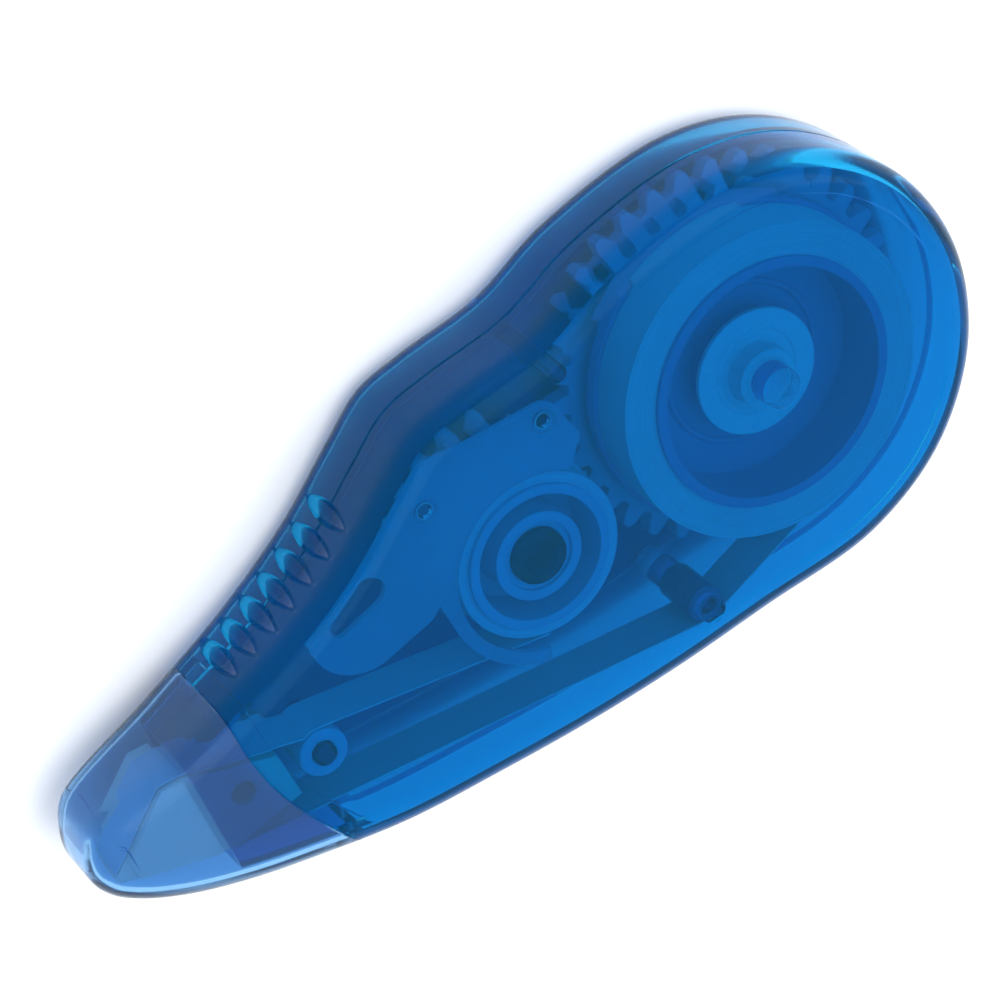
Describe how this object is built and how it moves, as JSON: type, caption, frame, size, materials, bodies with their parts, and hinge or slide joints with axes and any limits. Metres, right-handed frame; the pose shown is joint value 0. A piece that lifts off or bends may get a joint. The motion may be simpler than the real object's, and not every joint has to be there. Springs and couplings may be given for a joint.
{
  "type": "correction tape roller",
  "caption": "Hand-held correction tape roller: clear teardrop case with geared supply and take-up reels, slip clutch, applicator head and pull-off tip cap.",
  "frame": {"origin": "middle of the closed object's box, on the flat back face it lies on", "axes": "+X from the tip to the big end, +Y to the grip edge, +Z out of the front cover"},
  "size_m": [0.0976, 0.0438, 0.0143],
  "materials": {
    "case_blue": "clear polished",
    "cover_blue": "clear polished",
    "plate_blue": "clear satin",
    "head_white": "satin",
    "cap_blue": "clear polished",
    "gear_pale": "satin",
    "clutch_rubber": "matt",
    "spool_blue": "satin",
    "tape_white": "satin",
    "hub_cyan": "satin",
    "reel_pale": "satin",
    "tape_spent": "satin",
    "roller_pale": "satin",
    "roller_dark": "satin",
    "run_white": "satin",
    "run_spent": "satin"
  },
  "bodies": {
    "case": {"back_shell": "case_blue", "front_cover": "cover_blue", "inner_plate": "plate_blue", "applicator_head": "head_white", "supply_tape_run": "run_white", "return_tape_run": "run_spent"},
    "cap": {"tip_cap": "cap_blue"},
    "supply_drive": {"supply_gear": "gear_pale", "clutch_ring": "clutch_rubber", "hub_cap": "hub_cyan"},
    "spool": {"supply_spool": "spool_blue", "tape_roll": "tape_white"},
    "take_up": {"take_up_reel": "reel_pale", "used_tape": "tape_spent"},
    "roller": {"guide_roller": "roller_pale"},
    "low_roller": {"lower_roller": "roller_dark"}
  },
  "joints": [
    {"name": "cap_slide", "type": "slide", "parent": "case", "child": "cap", "axis": [-1, 0, 0], "range_m": [0, 0.03]},
    {"name": "supply_spin", "type": "hinge", "parent": "case", "child": "supply_drive", "pos_m": [0.0273, -0.001, 0.0066], "axis": [0, 0, 1], "continuous": true},
    {"name": "spool_slip", "type": "hinge", "parent": "supply_drive", "child": "spool", "pos_m": [0.0273, -0.001, 0.0066], "axis": [0, 0, 1], "continuous": true},
    {"name": "take_up_spin", "type": "hinge", "parent": "case", "child": "take_up", "pos_m": [0.00032, -0.002, 0.0066], "axis": [0, 0, 1], "continuous": true},
    {"name": "roller_spin", "type": "hinge", "parent": "case", "child": "roller", "pos_m": [-0.0254, -0.0062, 0.0089], "axis": [0, 0, 1], "continuous": true},
    {"name": "low_roller_spin", "type": "hinge", "parent": "case", "child": "low_roller", "pos_m": [0.0127, -0.0176, 0.0089], "axis": [0, 0, 1], "continuous": true}
  ],
  "couplings": [
    {"joint": "take_up_spin", "follows": "supply_spin", "ratio": -2},
    {"joint": "roller_spin", "follows": "supply_spin", "ratio": 6.8333},
    {"joint": "low_roller_spin", "follows": "supply_spin", "ratio": 9.1111}
  ]
}
